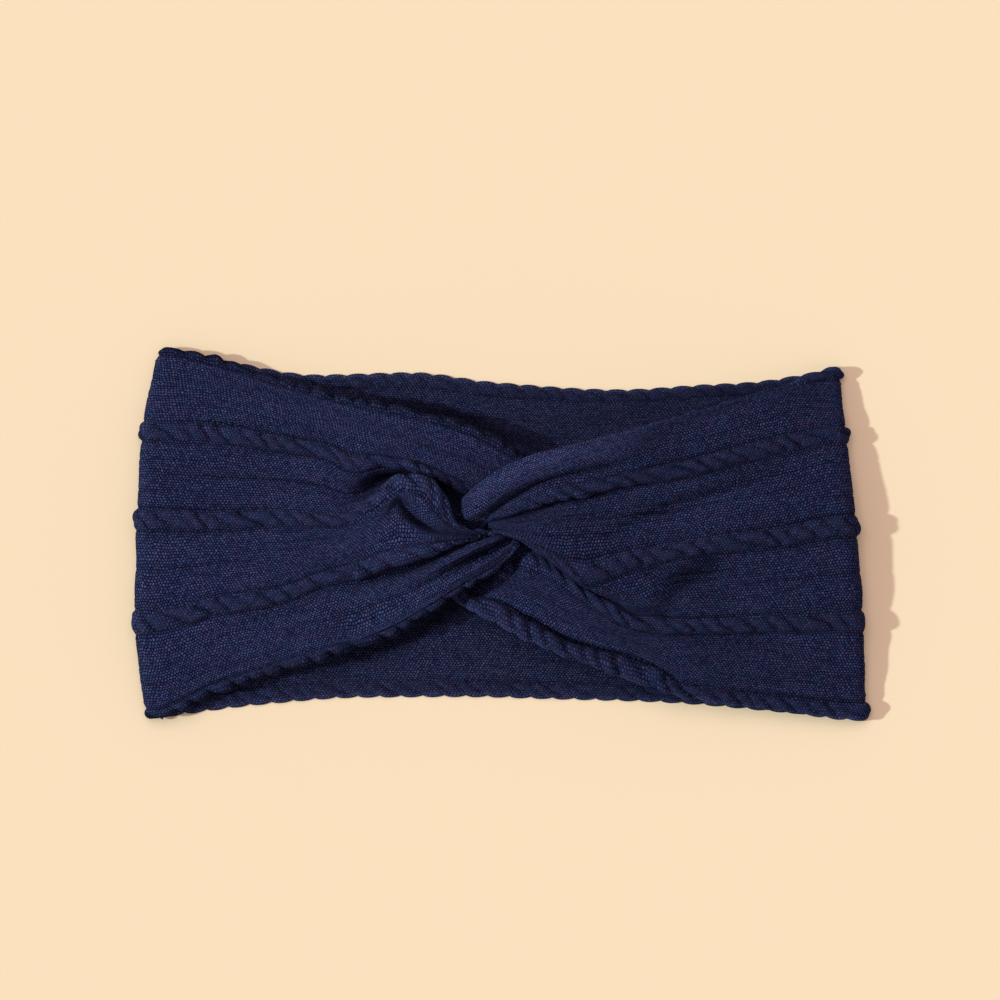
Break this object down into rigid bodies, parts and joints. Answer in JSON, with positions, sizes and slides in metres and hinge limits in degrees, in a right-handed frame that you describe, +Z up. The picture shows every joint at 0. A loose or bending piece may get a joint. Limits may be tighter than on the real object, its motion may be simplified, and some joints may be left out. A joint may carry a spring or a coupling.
{
  "type": "knotted headband",
  "caption": "Wide stretch-jersey headband lying flat, its two gathered ends hooked through each other as a knot at the front.",
  "frame": {"origin": "centre of the flat band's outline, on the surface it lies on", "axes": "+X across the flat band towards its right side fold, +Y towards its upper edge, +Z up out of the surface, towards the knot"},
  "size_m": [0.2276, 0.1152, 0.0189],
  "materials": {
    "jersey_face": "matt fine-gauge knit with cable columns",
    "jersey_inside": "matt fine-gauge knit, wrong side",
    "thread": "matt polyester overlock thread"
  },
  "bodies": {
    "back": {"back_panel": "jersey_inside", "left_side_fold": "jersey_face", "right_side_fold": "jersey_face"},
    "front": {"left_wing": "jersey_face", "right_wing": "jersey_face", "left_knot_loop": "jersey_face", "right_knot_loop": "jersey_face", "knot_seam_allowance": "jersey_inside", "knot_seam_thread": "thread"}
  },
  "joints": [
    {"name": "front_lift", "type": "slide", "parent": "back", "child": "front", "axis": [0, 0, 1], "range_m": [0, 0.06]}
  ]
}
